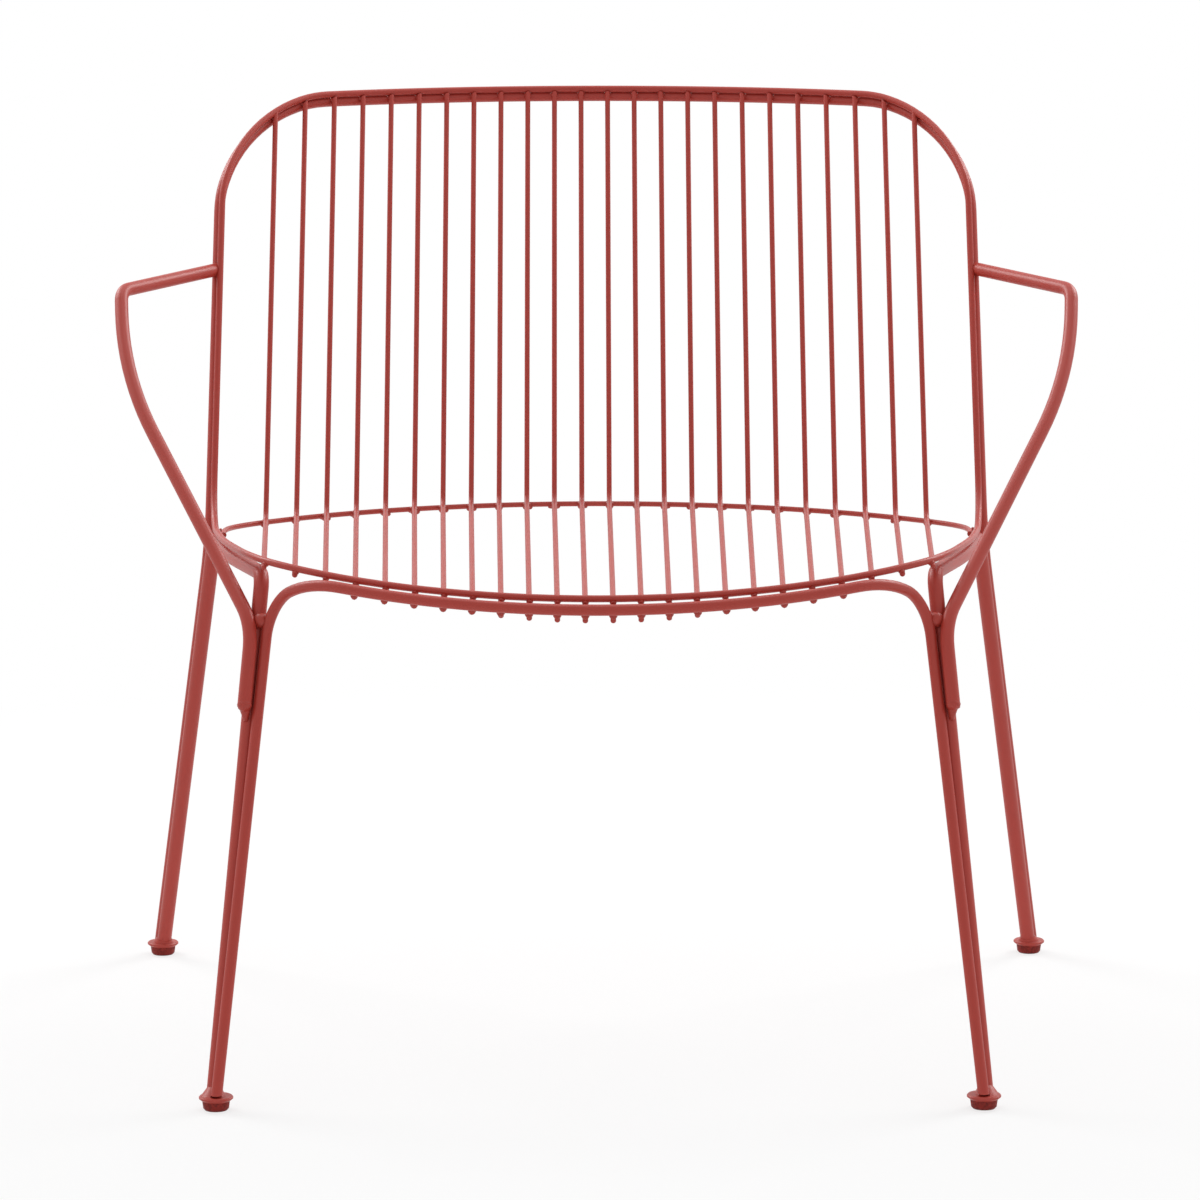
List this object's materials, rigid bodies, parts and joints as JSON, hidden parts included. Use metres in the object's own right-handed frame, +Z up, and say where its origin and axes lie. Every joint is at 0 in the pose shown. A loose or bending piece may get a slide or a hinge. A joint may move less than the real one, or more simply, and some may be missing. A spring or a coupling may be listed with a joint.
{
  "type": "garden armchair",
  "caption": "Low garden armchair of welded round steel rod: curved wire back and dished wire seat in one shell, open bent arms, splayed legs on small glide pads.",
  "frame": {"origin": "on the floor, under the middle of the overall box", "axes": "+X to the viewer's right, -Y to the front where the sitter's knees are, +Z up"},
  "size_m": [0.7168, 0.6818, 0.6697],
  "materials": {
    "powder_coat": "satin brick-red powder coat with a fine even grain",
    "glide_plastic": "matt moulded plastic, dark red-brown"
  },
  "bodies": {
    "root": {"arm_left": "powder_coat", "arm_right": "powder_coat", "back_hoop": "powder_coat", "crease_cross_wire": "powder_coat", "foot_disc_front_left": "powder_coat", "foot_disc_front_right": "powder_coat", "foot_disc_rear_left": "powder_coat", "foot_disc_rear_right": "powder_coat", "front_arch": "powder_coat", "glide_pad_front_left": "glide_plastic", "glide_pad_front_right": "glide_plastic", "glide_pad_rear_left": "glide_plastic", "glide_pad_rear_right": "glide_plastic", "seat_back_rim": "powder_coat", "shell_wire_01": "powder_coat", "shell_wire_02": "powder_coat", "shell_wire_03": "powder_coat", "shell_wire_04": "powder_coat", "shell_wire_05": "powder_coat", "shell_wire_06": "powder_coat", "shell_wire_07": "powder_coat", "shell_wire_08": "powder_coat", "shell_wire_09": "powder_coat", "shell_wire_10": "powder_coat", "shell_wire_11": "powder_coat", "shell_wire_12": "powder_coat", "shell_wire_13": "powder_coat", "shell_wire_14": "powder_coat", "shell_wire_15": "powder_coat", "shell_wire_16": "powder_coat", "shell_wire_17": "powder_coat", "shell_wire_18": "powder_coat", "shell_wire_19": "powder_coat", "shell_wire_20": "powder_coat", "shell_wire_21": "powder_coat", "shell_wire_22": "powder_coat", "shell_wire_23": "powder_coat", "shell_wire_24": "powder_coat", "side_frame_left": "powder_coat", "side_frame_right": "powder_coat", "weld_arm_end_left": "powder_coat", "weld_arm_end_right": "powder_coat", "weld_joint_left": "powder_coat", "weld_joint_right": "powder_coat"}
  },
  "joints": []
}
